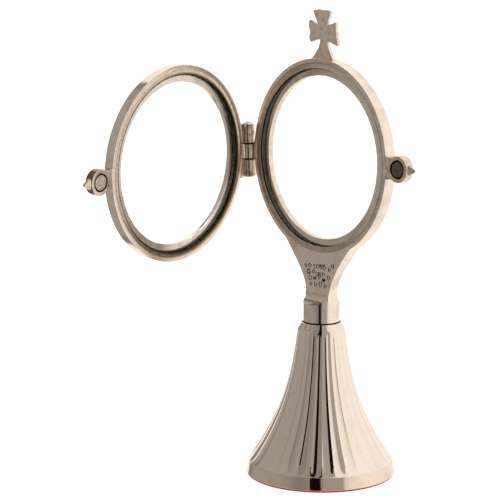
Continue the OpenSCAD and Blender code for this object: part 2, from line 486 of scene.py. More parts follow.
GROUP_MAKERS = {
    "tarnish": tarnish_group,
    "brushing": brushing_group,
    "lathe": lathe_group,
    "ripple": ripple_group,
}
GROUPS = {}
FINISHES = {}


def use(tree, name, coords, **values):
    """Places a shared group, wired to the object's own coordinates."""
    if name not in GROUPS:
        GROUPS[name] = GROUP_MAKERS[name]()
    inputs = {"Vector": coords.outputs["Object"], **values}
    return fed(tree, "ShaderNodeGroup", inputs, node_tree=GROUPS[name])


def new_material(name):
    material = bpy.data.materials.new(name)
    material.use_nodes = True
    tree = material.node_tree
    return material, tree, tree.nodes["Principled BSDF"], add(tree, "ShaderNodeTexCoord")


def metal(name, rough, ripple, scale, brush=None, **staining):
    """Metal with uneven roughness, polishing ripple and brush marks, still without its colour."""
    material, tree, shader, coords = new_material(name)
    stains = use(tree, "tarnish", coords, Scale=scale, **staining)
    wave = use(tree, "ripple", coords, Scale=scale * 1.3)
    normal = bumped(tree, wave.outputs["Height"], ripple * MM)
    if brush:
        turn, squash, depth = brush
        marks = use(tree, "brushing", coords, Turn=turn, Squash=squash)
        normal = bumped(tree, marks.outputs["Height"], depth * MM, normal)
    fill(tree, shader, {
        "Roughness": ranged(tree, stains.outputs["Clouds"], 0.3, 0.75, rough * 0.75, rough * 1.35),
        "Normal": normal,
        "Metallic": 1.0,
    })
    return material, tree, shader, coords, stains


def plated(name, clean, stained, rough, tarnish, spots, ripple, scale=160.0, brush=None):
    """Warm silver plate, clean or stained."""
    material, tree, shader, _, stains = metal(name, rough, ripple, scale, brush, Spots=spots, Amount=tarnish)
    fill(tree, shader, {"Base Color": mixed(tree, stains.outputs["Mask"], clean, stained)})
    return material


def magnet_finish(name, centre, axis, brightness):
    """Worn plating with rings round the magnet's own axis."""
    material, tree, shader, coords = new_material(name)
    rings = use(tree, "lathe", coords, Centre=centre, Axis=axis, Lines=4200.0)
    stains = use(tree, "tarnish", coords, Scale=500.0, Spots=0.4, Amount=0.6)
    dark = toned((0.55, 0.45, 0.38), brightness)
    light = toned((1.15, 0.95, 0.82), brightness)
    worn = toned((0.12, 0.09, 0.07), brightness)
    shade = mixed(tree, ranged(tree, rings.outputs["Height"], 0.35, 0.65, 0, 1), dark, light)
    fill(tree, shader, {
        "Base Color": mixed(tree, stains.outputs["Mask"], shade, worn),
        "Roughness": ranged(tree, stains.outputs["Clouds"], 0.3, 0.7, 0.28, 0.5),
        "Normal": bumped(tree, rings.outputs["Height"], 0.02 * MM),
        "Metallic": 1.0,
    })
    return material


def shaded_ring_plate(name, centre, axis, across, reach, outer, inner, mottle):
    """A slanted ring's plate: outer and inner edge each have a colour at either end of the line across."""
    material, tree, shader, coords, _ = metal(name, 0.17, 0.005, 300)
    rings = use(tree, "lathe", coords, Centre=centre, Axis=axis, Lines=4000.0)
    outward = ranged(tree, rings.outputs["Distance"], *reach, 0, 1)
    along = worked(tree, "DOT_PRODUCT", coords.outputs["Object"], across, kind=VECTOR_MATHS)
    halfway = centre.dot(across)
    side = ranged(tree, along, halfway - 30 * MM, halfway + 30 * MM, 0, 1)
    # Painted light and shade: the colour runs from the inner to the outer edge and from one side to the
    # other.
    fade = mixed(tree, outward, mixed(tree, side, *inner), mixed(tree, side, *outer))
    stains = use(tree, "tarnish", coords, Scale=420.0, Spots=0.6, Amount=mottle)
    fill(tree, shader, {"Base Color": mixed(tree, stains.outputs["Mask"], fade, (0.06, 0.045, 0.02))})
    return material


def felt_finish(colour):
    """Pressed wool felt: mottled red with a fine fibre bump."""
    material, tree, shader, coords = new_material("red_felt")
    stains = use(tree, "tarnish", coords, Scale=900.0, Spots=0.2, Amount=0.9)
    fibres = use(tree, "brushing", coords, Turn=(0.4, 0.7, 0.2), Squash=(2600, 5200, 3900))
    fill(tree, shader, {
        "Base Color": mixed(tree, stains.outputs["Mask"], colour, toned(colour, 0.45)),
        "Normal": bumped(tree, fibres.outputs["Height"], 0.12 * MM),
        "Roughness": ranged(tree, fibres.outputs["Height"], 0.3, 0.7, 0.85, 1.0),
        "Sheen Weight": 0.35,
        "Sheen Roughness": 0.5,
    })
    return material


def glass_finish():
    """Clear glass with a breath of smears."""
    material, tree, shader, coords = new_material("clear_glass")
    smears = use(tree, "tarnish", coords, Scale=70.0, Spots=0.15, Amount=1.0)
    fill(tree, shader, {
        "Base Color": mixed(tree, smears.outputs["Mask"], (0.985, 0.995, 0.99), (0.975, 0.988, 0.982)),
        "Roughness": ranged(tree, smears.outputs["Clouds"], 0.45, 0.8, 0.0, 0.02),
        "Transmission Weight": 1.0,
        "IOR": 1.5,
    })
    return material


def glass_edge_finish(name, colour, fade):
    """An edge of the glass, mottled between a colour and a darker one."""
    material, tree, shader, coords = new_material(name)
    mottle = use(tree, "tarnish", coords, Scale=300.0, Spots=0.4, Amount=1.0)
    fill(tree, shader, {
        "Base Color": mixed(tree, mottle.outputs["Mask"], colour, toned(colour, fade)),
        "Roughness": ranged(tree, mottle.outputs["Clouds"], 0.3, 0.7, 0.25, 0.5),
    })
    return material


def finishes():
    """All materials, made once, by name."""
    if FINISHES:
        return FINISHES
    tone = bpy.context.scene.monstrance_tones
    plate_tone = tuple(tone.plate)
    stain = tuple(tone.stain)
    satin_tone = tuple(tone.satin)
    backward = Vector((0, 1, 0))
    door_backward = OPEN_DOOR.to_3x3() @ backward
    FINISHES.update(
        bell=plated("bell_polish", plate_tone, stain, 0.05, 0.12, 0.9, 0.003, 240),
        band=plated(
            "rim_band_polish", toned(plate_tone, (0.96, 0.92, 0.87)), stain, 0.06, 0.2, 0.6, 0.003, 240),
        rim=plated("rim_polish", plate_tone, stain, 0.12, 0.4, 0.3, 0.006),
        face=plated(
            "satin_face", satin_tone, stain, 0.24, 0.45, 0.35, 0.004,
            brush=((0, 0.5, 0), (500, 500, 5200), 0.0045)),
        door_face=plated(
            "door_satin_face", satin_tone, stain, 0.25, 0.2, 0.2, 0.004,
            brush=((0.3, 0, 0), (600, 600, 5200), 0.004)),
        cast=plated(
            "cast_polish", toned(plate_tone, (0.86, 0.83, 0.78)), (0.3, 0.22, 0.13),
            0.16, 0.6, 0.5, 0.008, 420),
        barrel=plated(
            "barrel_polish", toned(plate_tone, (0.92, 0.87, 0.82)), (0.16, 0.09, 0.05),
            0.09, 0.7, 0.6, 0.006, 420),
        cross=plated(
            "filed_cross", satin_tone, stain, 0.3, 0.6, 0.7, 0.012, 420,
            brush=((0, 0.6, 0), (700, 700, 3400), 0.035)),
        stained_cast=plated(
            "stained_casting", (0.34, 0.24, 0.17), (0.09, 0.045, 0.025), 0.2, 0.9, 0.6, 0.02, 520),
        # Painted shade: the door ring's inner edge is painted near black and its outer edge light, each
        # changing across the door.
        door_slant=shaded_ring_plate(
            "door_slant_painted_shade", OPEN_DOOR @ Vector((0, DOOR_Y, RING_Z)), door_backward,
            Vector((0, 1, 0)), (SEAT_R + 0.15 * MM, SEAT_R + 0.8 * MM),
            ((0.6, 0.5, 0.4), (0.68, 0.58, 0.46)), ((0.2, 0.13, 0.085), (0.05, 0.033, 0.011)), 0.25),
        # Painted shade: the frame ring's outer edge is painted dark brown, darkest towards -X, and its inner
        # edge light.
        frame_slant=shaded_ring_plate(
            "frame_slant_painted_shade", Vector((0, FRONT_Y, RING_Z)), backward,
            Vector((1, 0, 0)), (BEZEL_R - 0.5 * MM, BEZEL_R),
            ((0.42, 0.31, 0.23), (0.62, 0.52, 0.42)), ((0.7, 0.62, 0.53), (0.74, 0.67, 0.56)), 0.2),
        # Painted shade: a darker satin tone for the scoop's up-facing faces, standing in for their darker
        # reflection of the room above.
        scoop=plated("painted_scoop_shade", toned(satin_tone, 0.42), stain, 0.3, 0.3, 0.3, 0.004, 240),
        # Painted shade: a near-black olive for the holding rings' upright edges, where the gap at the glass's
        # edge lies in shadow.
        groove=plated(
            "olive_groove", (0.075, 0.055, 0.018), (0.03, 0.02, 0.008), 0.35, 0.7, 0.5, 0.01, 300),
        # Painted shade: a near-black colour for the seams, the ends beside the knuckle gaps, the punched
        # marks and the magnet holes, where shade falls.
        grime=plated("painted_hollow_shade", (0.045, 0.033, 0.024), (0.015, 0.012, 0.01), 0.5, 0.8, 0.5, 0.01),
        # A dark brown colour for the walls of the glass seats.
        seat=plated("dark_seat_wall", (0.17, 0.13, 0.08), (0.06, 0.06, 0.03), 0.35, 0.9, 0.6, 0.01, 300),
        steel=plated(
            "turned_steel", (0.46, 0.44, 0.42), (0.2, 0.16, 0.13), 0.28, 0.5, 0.4, 0.005, 500,
            brush=((0, 0, 0), (300, 300, 6000), 0.006)),
        # Painted light and shade: the stand's magnet is painted much darker (0.2) than the door's (0.62),
        # though both are the same part.
        stand_magnet=magnet_finish("stand_magnet_face", CATCH, backward, 0.2),
        door_magnet=magnet_finish(
            "door_magnet_face", OPEN_DOOR @ Vector((CATCH.x, DOOR_Y, CATCH.z)), door_backward, 0.62),
        felt=felt_finish(tuple(tone.felt)),
        glass=glass_finish(),
        glass_edge=glass_edge_finish("green_glass_edge", tuple(tone.glass_edge), 0.4),
        glass_rim=glass_edge_finish("olive_glass_rim", (0.42, 0.39, 0.27), 0.5),
    )
    return FINISHES


# ---------------------------------------------------------------- shapes


def flare(t):
    """How far out the bell stands at height t of its flare, from 1 at the foot to 0 at the top."""
    return 0.3 * (1 - t) + 0.7 * (1 - t) ** 2.45


def build_bell():
    dims = bpy.context.scene.monstrance_sizes
    rim_top = FOOT_R - 1.1 * MM
    low_z = FOOT_Z + dims.rim_height
    high_z = SEAM_Z - 3.2 * MM
    steps = [0, 0.012, 0.028, 0.048, 0.07]
    steps += [0.1 + 0.05 * i for i in range(17)]
    steps += [0.93, 0.955, 0.975, 0.99, 1]

    def side(t, inset=0.0):
        return (BELL_TOP_R + (rim_top - BELL_TOP_R) * flare(t) - inset, low_z + (high_z - low_z) * t)

    inside = [side(1 - 0.1 * i, BELL_WALL) for i in range(11)]
    inside[0] = (inside[0][0], SEAM_Z - 2 * MM)
    foot = [
        (FOOT_R - BELL_WALL, FOOT_Z), (FOOT_R - 0.12 * MM, FOOT_Z), (FOOT_R, FOOT_Z + 0.12 * MM),
        (FOOT_R - 0.3 * MM, FOOT_Z + 1.6 * MM), (rim_top + 0.32 * MM, low_z - 0.42 * MM),
        (rim_top + 0.28 * MM, low_z - 0.24 * MM), (rim_top + 0.1 * MM, low_z - 0.12 * MM),
    ]
    outside = [side(t) for t in steps]
    shoulder = [(BELL_TOP_R - inset * MM, SEAM_Z - drop * MM) for inset, drop in SHOULDER_STEPS]
    shoulder += [(COLLAR_R - 0.5 * MM, SEAM_Z - 0.18 * MM), (COLLAR_R - 0.55 * MM, SEAM_Z)]
    columns = dims.flutes * FLUTE_STEPS
    piece = turned("bell_foot", inside + foot + outside + shoulder, columns)
    pick_up(piece)
    bpy.ops.object.mode_set(mode="EDIT")
    for low, high, ease in flute_bands(outside, low_z, high_z):
        for offset in range(1, HALF_FLUTE + 1):
            across = 1 - offset / HALF_FLUTE
            shape = 1 - across * across - ease * ease
            if shape > 0.02:
                press_flutes(piece, low, high, columns, offset, 1 - dims.flute_depth * shape)
    close_mesh()
    polish(piece, 24)
    coat(piece, *(finishes()[key] for key in ("bell", "grime", "band")))
    # Painted shade: the bell's top at the seam under the collar gets the dark hollow colour.
    coat_where(piece, 1, lambda face: face.calc_center_median().z > SEAM_Z - 0.24 * MM)
    coat_where(piece, 2, lambda face: face.calc_center_median().z < low_z - 0.1 * MM)
    hand_in(piece, "stand", "bell_plate", "base_bell")


def flute_bands(outside, low_z, high_z):
    """Height bands of the bell's rows, each with how near it is to a flute's end, from 0 to 1."""
    run_in = 2.0 * MM
    run_out = 1.8 * MM
    bands = []
    for _, height in outside:
        ease = max(0, 1 - (height - low_z) / run_in, 1 - (high_z - height) / run_out)
        bands.append((height - 0.01 * MM, height + 0.01 * MM, ease))
    full = [band for band in bands if band[2] == 0]
    ends = [band for band in bands if band[2] > 0]
    return ends + [(full[0][0], full[-1][1], 0)]


def press_flutes(piece, low, high, columns, offset, scale):
    """Presses the columns that lie this many steps from a ridge towards the axis."""

    def on_flute(vert):
        if not low <= vert.co.z <= high:
            return False
        column = round((math.atan2(vert.co.y, vert.co.x) / math.tau) * columns) % FLUTE_STEPS
        return min(column, FLUTE_STEPS - column) == offset and is_outside(vert)

    if choose(piece, on_flute, "VERT"):
        bpy.ops.transform.resize(value=(scale, scale, 1), center_override=(0, 0, 0))


def is_outside(vert):
    """True on the bell's outer skin, away from its inner wall."""
    return Vector((vert.co.x, vert.co.y, 0)).normalized().dot(vert.normal) > 0


def build_felt():
    low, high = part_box("base_felt")
    radius = size("base_felt").x / 2
    profile = [
        (radius * 0.5, low.z), (radius - 0.25 * MM, low.z), (radius - 0.06 * MM, low.z + 0.15 * MM),
        (radius, low.z + 0.4 * MM), (radius - 0.04 * MM, high.z - 0.12 * MM),
        (radius - 0.2 * MM, high.z), (radius * 0.5, high.z),
    ]
    piece = turned("felt_pad", profile, 160)
    open_mesh()
    choose(piece, lambda v: v.co.z > low.z + 0.2 * MM and math.hypot(v.co.x, v.co.y) > radius * 0.97, "VERT")
    bpy.ops.transform.vertex_random(offset=0.05 * MM, seed=4)
    bpy.ops.object.mode_set(mode="OBJECT")
    polish(piece, 60)
    coat(piece, finishes()["felt"])
    hand_in(piece, "stand", "felt", "base_felt")


def neck_curve(t):
    """The flared side of the neck, from its narrowest place up into the ring."""
    knots = [
        Vector((NECK_HALF, SEAM_Z + 10.2 * MM)), Vector((NECK_HALF, SEAM_Z + 17.6 * MM)),
        Vector((13.1 * MM, RING_Z - 41.4 * MM)), Vector((19.5 * MM, RING_Z - 33.3 * MM)),
    ]
    u = 1 - t
    return u ** 3 * knots[0] + 3 * t * u * u * knots[1] + 3 * t * t * u * knots[2] + t ** 3 * knots[3]


def frame_outline():
    """The ring and the flat neck under it, as one outline in X and Z."""
    side = []
    for i in range(33):
        spot = neck_curve(i / 32)
        if math.hypot(spot.x, spot.y - RING_Z) < RING_R:
            break
        side.append(spot)
    last = side[-1]
    begin = math.atan2(last.x, RING_Z - last.y)
    turns = 160
    right = [(spot.x, spot.y) for spot in side]
    round_ring = []
    for i in range(1, turns):
        angle = begin + (math.tau - 2 * begin) * i / turns
        round_ring.append((RING_R * math.sin(angle), RING_Z - RING_R * math.cos(angle)))
    left = [(-x, z) for x, z in reversed(right)]
    low = SEAM_Z + 2 * MM
    return [(-NECK_HALF, low), (NECK_HALF, low)] + right + round_ring + left


def scoop_outline(front):
    """What is cut off in front of (or behind) the neck, in Y and Z."""
    scoop_r = 5.95 * MM
    scoop_z = SEAM_Z + 13.2 * MM
    half = 2.15 * MM
    centre = half + scoop_r
    begin = math.asin((centre - COLLAR_R) / scoop_r)
    arc = []
    for i in range(13):
        angle = begin + (math.pi / 2 - begin) * i / 12
        arc.append((centre - scoop_r * math.sin(angle), scoop_z - scoop_r * math.cos(angle)))
    out = COLLAR_R + 4 * MM
    edge = FRAME_T / 2
    points = [(out, arc[0][1] - 0.6 * MM)] + arc
    points += [(half, SEAM_Z + 18 * MM), (half + 0.04 * MM, NECK_FLAT_Z)]
    points += [(edge - 0.05 * MM, NECK_TAPER_Z), (edge + 0.001 * MM, RING_Z - 37 * MM)]
    points += [(edge + 1 * MM, RING_Z - 36 * MM), (out, RING_Z - 36 * MM)]
    return [(front * y, z) for y, z in points]


def scoop_cutter(front):
    cutter = plate("neck_scoop", scoop_outline(front), -30 * MM, 30 * MM)
    place(cutter, Matrix.Rotation(math.radians(90), 4, "Z"))
    return cutter


def mark_spots():
    """Places of the small rings punched on the neck's face, in X and Z."""
    rows = [
        (84.3, ((-6.8, -0.2), (-4.4, 0.1), (-1.2, 0.0), (1.5, 0.2), (4.2, 0.3), (7.2, -0.2), (9.0, 1.5))),
        (81.8, ((-5.3, 0.0), (-2.3, 0.3), (0.5, -0.7), (3.6, 0.1), (6.5, -0.9))),
        (79.4, ((-4.3, 0.0), (-1.6, 0.2), (3.7, 0.1))),
        (77.2, ((-4.0, -0.2), (-1.2, 0.0), (1.8, 0.4), (4.6, 0.0))),
    ]
    return [(x * MM, (height + lift) * MM) for height, places in rows for x, lift in places]


def face_depth(height):
    """How far forward the neck's face is at a height."""
    t = min(1, max(0, (height - NECK_FLAT_Z) / (NECK_TAPER_Z - NECK_FLAT_Z)))
    return -(2.19 + (2.65 - 2.19) * t) * MM


def punch_marks(piece):
    """Presses a small ring at every mark."""
    dims = bpy.context.scene.monstrance_sizes
    for index, (x, z) in enumerate(mark_spots()):
        clear_selection()
        grow = 0.75 + 0.4 * ((index * 7) % 5) / 4
        bpy.ops.mesh.primitive_torus_add(
            major_radius=dims.mark_radius * grow, minor_radius=0.29 * MM, major_segments=16, minor_segments=6,
            location=(x, face_depth(z), z), rotation=(math.radians(90), 0, 0))
        punch = name_piece("ring_punch")
        settle(punch)
        join_solid(piece, punch, "DIFFERENCE")


def build_frame():
    piece = plate("cast_frame", frame_outline(), FRONT_Y, FRONT_Y + FRAME_T)
    soften(piece, 0.3 * MM, 3, 50)
    collar = [
        (COLLAR_R - 0.25 * MM, SEAM_Z), (COLLAR_R, SEAM_Z + 0.22 * MM), (COLLAR_R, SEAM_Z + 7.4 * MM),
        (COLLAR_R - 0.03 * MM, SEAM_Z + 7.9 * MM), (COLLAR_R - 0.12 * MM, SEAM_Z + 8.3 * MM),
        (COLLAR_R - 0.28 * MM, SEAM_Z + 8.7 * MM), (COLLAR_R - 0.45 * MM, SEAM_Z + 9.1 * MM),
        (NECK_HALF, SEAM_Z + 9.6 * MM), (6.75 * MM, SEAM_Z + 13.6 * MM),
    ]
    join_solid(piece, turned("collar", collar, 144))
    for front in (-1, 1):
        join_solid(piece, scoop_cutter(front), "DIFFERENCE")
    lip = GLASS_BACK
    back = FRONT_Y + FRAME_T
    window = [
        (BEZEL_R + 1.1 * MM, FRONT_Y - 1 * MM), (BEZEL_R, FRONT_Y + 0.08 * MM), (BEZEL_R, FRONT_Y + BEZEL_T),
        (SEAT_R, FRONT_Y + BEZEL_T), (SEAT_R, lip), (WINDOW_R + 0.2 * MM, lip),
        (WINDOW_R, lip + 0.2 * MM), (WINDOW_R, back - 0.25 * MM), (WINDOW_R + 1.2 * MM, back + 0.95 * MM),
    ]
    join_solid(piece, faced("window_cutter", window, RING_STEPS), "DIFFERENCE")
    punch_marks(piece)
    polish(piece, 30)
    coat(piece, *(finishes()[key] for key in ("rim", "face", "grime", "seat", "scoop")))
    coat_where(piece, 1, lambda face: abs(face.normal.y) > 0.985 or on_neck_face(face) or in_scoop(face))
    # Painted shade: the scoop's up-facing faces get the darker scoop tone.
    coat_where(piece, 4, lambda face: in_scoop(face) and face.normal.z > 0.76)
    # Painted shade: the punched marks and the collar's foot at the seam get the dark hollow colour.
    coat_where(piece, 2, in_mark)
    coat_where(piece, 2, lambda face: face.calc_center_median().z < SEAM_Z + 0.2 * MM)
    coat_where(piece, 3, on_seat_wall)
    hand_in(piece, "stand", "frame_plate", "main_frame")


def on_neck_face(face):
    spot = face.calc_center_median()
    return abs(face.normal.y) > 0.9 and spot.z < RING_Z - 33 * MM


def in_scoop(face):
    spot = face.calc_center_median()
    return (
        SEAM_Z + 6.5 * MM < spot.z < NECK_FLAT_Z
        and abs(face.normal.x) < 0.35
        and face.normal.z > -0.1
    )


def in_mark(face):
    spot = face.calc_center_median()
    if spot.y > -1.5 * MM or spot.z > SEAM_Z + 25 * MM or abs(face.normal.y) > 0.99:
        return False
    return any(math.hypot(spot.x - x, spot.z - z) < 1.1 * MM for x, z in mark_spots())


def from_axis(face):
    """How far a face is from the axis through the middle of the frame, with the door shut."""
    spot = face.calc_center_median()
    return math.hypot(spot.x, spot.z - RING_Z)


def on_seat_wall(face):
    return abs(face.normal.y) < 0.3 and SEAT_R - 0.2 * MM < from_axis(face) < SEAT_R + 0.2 * MM


def pane(name, front, back, inward):
    """A glass disc with a ground edge, just clear of its seat; inward is +1 where the front faces -Y."""
    front += inward * FIT_GAP
    back -= inward * 0.04 * MM
    profile = [
        (GLASS_R * 0.5, front), (GLASS_R - 0.5 * MM, front), (GLASS_R - 0.2 * MM, front + inward * 0.16 * MM),
        (GLASS_R, front + inward * 0.35 * MM), (GLASS_R, back - inward * 0.25 * MM),
        (GLASS_R - 0.25 * MM, back), (GLASS_R * 0.5, back),
    ]
    piece = faced(name, profile, 160)
    polish(piece, 20)
    coat(piece, *(finishes()[key] for key in ("glass", "glass_edge", "glass_rim")))
    coat_where(piece, 1, lambda face: from_axis(face) > GLASS_R - 0.55 * MM)
    coat_where(piece, 2, lambda face: from_axis(face) > GLASS_R - 0.03 * MM)
    return piece


def build_frame_glass():
    piece = pane("frame_pane", FRONT_Y + BEZEL_T, GLASS_BACK, 1)
    hand_in(piece, "stand", "glass", "frame_glass")


def build_door_glass():
    piece = pane("door_pane", DOOR_Y - DOOR_BEZEL_T, DOOR_GLASS_BACK, -1)
    hang_door(piece)
    hand_in(piece, "door", "glass", "door_glass")


def slanted_ring(name, front, depth, edge, inward, slant):
    """A ring whose face slants in to a short upright edge; inward is +1 where the front faces -Y."""
    inner = SEAT_R - 0.3 * MM
    outer = BEZEL_R - FIT_GAP
    drop = depth - edge
    steps = [
        (inner, depth - 0.04 * MM), (inner, drop + 0.12 * MM), (inner + 0.08 * MM, drop + 0.03 * MM),
        (inner + 0.3 * MM, drop - 0.02 * MM), (outer - 0.6 * MM, 0.06 * MM), (outer - 0.37 * MM, 0),
        (outer - 0.1 * MM, 0), (outer, 0.1 * MM), (outer, depth), (inner + 0.04 * MM, depth),
    ]
    profile = [(radius, front + inward * step) for radius, step in steps]
    piece = faced(name, profile, RING_STEPS, solid=False)
    polish(piece, 30)
    coat(piece, finishes()[slant], finishes()["groove"])
    # Painted shade: the ring's upright edges get the dark olive gap colour.
    coat_where(piece, 1, lambda face: abs(face.normal.y) < 0.3)
    return piece


def build_frame_bezel():
    piece = slanted_ring("frame_ring", FRONT_Y, BEZEL_T, 0.6 * MM, 1, "frame_slant")
    hand_in(piece, "stand", "bezel_plate", "frame_bezel")


def build_door_bezel():
    piece = slanted_ring("door_holding_ring", DOOR_Y, DOOR_BEZEL_T, 0.7 * MM, -1, "door_slant")
    hang_door(piece)
    hand_in(piece, "door", "bezel_plate", "door_bezel")


def build_door_ring():
    outer = DOOR_Y - DOOR_T
    lip = DOOR_GLASS_BACK
    profile = [
        (BEZEL_R, DOOR_Y - 0.08 * MM), (BEZEL_R + 0.06 * MM, DOOR_Y), (RING_R - 0.35 * MM, DOOR_Y),
        (RING_R - 0.12 * MM, DOOR_Y - 0.1 * MM),
        (RING_R, DOOR_Y - 0.35 * MM), (RING_R, outer + 0.5 * MM), (RING_R - 0.15 * MM, outer + 0.18 * MM),
        (RING_R - 0.5 * MM, outer), (WINDOW_R + 0.35 * MM, outer), (WINDOW_R, outer + 0.3 * MM),
        (WINDOW_R, lip - 0.2 * MM), (WINDOW_R + 0.2 * MM, lip), (SEAT_R, lip),
        (SEAT_R, DOOR_Y - DOOR_BEZEL_T), (BEZEL_R, DOOR_Y - DOOR_BEZEL_T),
    ]
    piece = faced("door_frame", profile, RING_STEPS, solid=False)
    polish(piece, 30)
    coat(piece, finishes()["rim"], finishes()["door_face"], finishes()["seat"])
    coat_where(piece, 1, lambda face: abs(face.normal.y) > 0.97)
    coat_where(piece, 2, on_seat_wall)
    hang_door(piece)
    hand_in(piece, "door", "frame_plate", "door_ring")


def cross_outline():
    """The hand-filed cross with flared arms, in X and Z about its middle."""
    arms = [
        (6.3, -11.4), (6.2, -10.0), (5.4, -8.9), (4.4, -7.2), (3.3, -5.2), (2.5, -3.1), (4.0, -3.2),
        (5.8, -3.8),
        (8.6, -4.6), (9.0, -4.3), (8.7, -2.6), (8.2, -0.6), (7.9, 1.0), (7.8, 2.8), (7.9, 4.2), (7.4, 4.7),
        (5.6, 4.0), (2.7, 3.1), (2.7, 3.9), (3.2, 5.0), (4.2, 7.0), (4.5, 8.3), (4.0, 8.9), (3.0, 9.1),
        (0.5, 9.0), (-1.6, 9.05), (-2.3, 9.3), (-3.2, 9.15), (-4.6, 8.9), (-5.5, 8.6), (-5.5, 8.1),
        (-4.7, 6.7), (-3.5, 4.9), (-2.8, 3.5), (-4.3, 3.9), (-5.9, 4.7), (-7.6, 4.9), (-8.1, 4.3),
        (-8.2, 2.4), (-7.4, 0.6), (-7.6, -0.5), (-7.9, -2.0), (-7.4, -3.2), (-6.7, -3.7), (-5.3, -3.3),
        (-3.0, -2.5), (-1.6, -2.4), (-1.3, -3.3), (-2.3, -5.6), (-3.7, -7.4), (-5.3, -9.0), (-6.3, -10.1),
        (-6.4, -11.4),
    ]
    return [(x * MM, CROSS_Z + z * MM) for x, z in arms]


def build_cross():
    piece = plate("cross", cross_outline(), CROSS_Y, CROSS_Y + CROSS_T)
    soften(piece, 0.14 * MM, 2, 40)
    cut_ring_space(piece, 9 * MM)
    polish(piece, 30)
    coat(piece, finishes()["cross"])
    hand_in(piece, "stand", "cross_plate", "cross_finial")


def boss_outline():
    """A round boss with a web to the ring."""
    points = []
    for i in range(49):
        angle = math.radians(-127 + 254 * i / 48)
        points.append((CATCH.x + BOSS_R * math.cos(angle), CATCH.z + BOSS_R * math.sin(angle)))
    web = [(RING_R - 2 * MM, CATCH.z + 4.5 * MM), (RING_R - 2 * MM, CATCH.z - 4.5 * MM)]
    return points + web


def boss(name, front, back):
    """The boss with its small point and its magnet hole; front is the side that the magnet shows on."""
    low, high = min(front, back), max(front, back)
    piece = plate(name, boss_outline(), low, high)
    soften(piece, 0.4 * MM, 3, 40)
    point = [
        (1.72 * MM, 3.6 * MM), (1.7 * MM, 4.4 * MM), (1.05 * MM, 6.2 * MM), (0.42 * MM, 7.6 * MM),
        (0.12 * MM, 7.95 * MM)]
    tip = turned("boss_point", point, 32)
    lie = Matrix.Rotation(math.radians(90), 4, "Y")
    wide = Matrix.Diagonal((1.35, 1, 1, 1))
    place(tip, Matrix.Translation((CATCH.x, (low + high) / 2, CATCH.z)) @ lie @ wide)
    join_solid(piece, tip)
    inward = 1 if back > front else -1
    cut_ring_space(piece)
    depth = 2.12 * MM
    hole = [
        (MAGNET_R + 0.78 * MM, front - inward * 0.5 * MM), (MAGNET_R + 0.75 * MM, front),
        (MAGNET_R + 0.6 * MM, front + inward * 0.15 * MM), (MAGNET_R + 0.6 * MM, front + inward * depth),
    ]
    cutter = faced("magnet_hole", hole, 64)
    place(cutter, Matrix.Translation((CATCH.x, 0, CATCH.z - RING_Z)))
    join_solid(piece, cutter, "DIFFERENCE")
    polish(piece, 34)
    side = finishes()["cast"] if inward > 0 else finishes()["stained_cast"]
    coat(piece, finishes()["cast"], side, finishes()["grime"])
    coat_where(piece, 1, lambda face: abs(face.normal.y) < 0.55 and on_boss_side(face))
    # Painted shade: the walls of the magnet hole get the dark hollow colour.
    coat_where(piece, 2, lambda face: in_hole(face, front, inward))
    return piece


def from_catch(face):
    """How far a face is from the magnets' axis, with the door shut."""
    spot = face.calc_center_median()
    return math.hypot(spot.x - CATCH.x, spot.z - CATCH.z)


def on_boss_side(face):
    return 4.6 * MM < from_catch(face) < 5.3 * MM


def in_hole(face, front, inward):
    depth = (face.calc_center_median().y - front) * inward
    return from_catch(face) < MAGNET_R + 0.7 * MM and 0.1 * MM < depth < 2.5 * MM


def build_bosses():
    low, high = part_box("frame_catch_boss")
    piece = boss("stand_catch", low.y, high.y)
    hand_in(piece, "stand", "cast_plate", "frame_catch_boss")
    low, high = closed_box("door_catch_boss")
    other = boss("door_catch", high.y, low.y)
    hang_door(other)
    hand_in(other, "door", "cast_plate", "door_catch_boss")


def magnet(name, front, inward):
    radius = MAGNET_R
    profile = [
        (radius * 0.32, front + inward * 0.06 * MM), (radius * 0.4, front + inward * 0.01 * MM),
        (radius - 0.3 * MM, front), (radius - 0.08 * MM, front + inward * 0.07 * MM),
        (radius, front + inward * 0.3 * MM), (radius, front + inward * 1.98 * MM),
    ]
    piece = faced(name, profile, 72)
    place(piece, Matrix.Translation((CATCH.x, 0, CATCH.z - RING_Z)))
    polish(piece, 30)
    return piece


def build_magnets():
    piece = magnet("stand_magnet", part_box("frame_magnet")[0].y, 1)
    coat(piece, finishes()["stand_magnet"])
    hand_in(piece, "stand", "magnet", "frame_magnet")
    other = magnet("door_magnet_disc", closed_box("door_magnet")[1].y, -1)
    coat(other, finishes()["door_magnet"])
    hang_door(other)
    hand_in(other, "door", "magnet", "door_magnet")


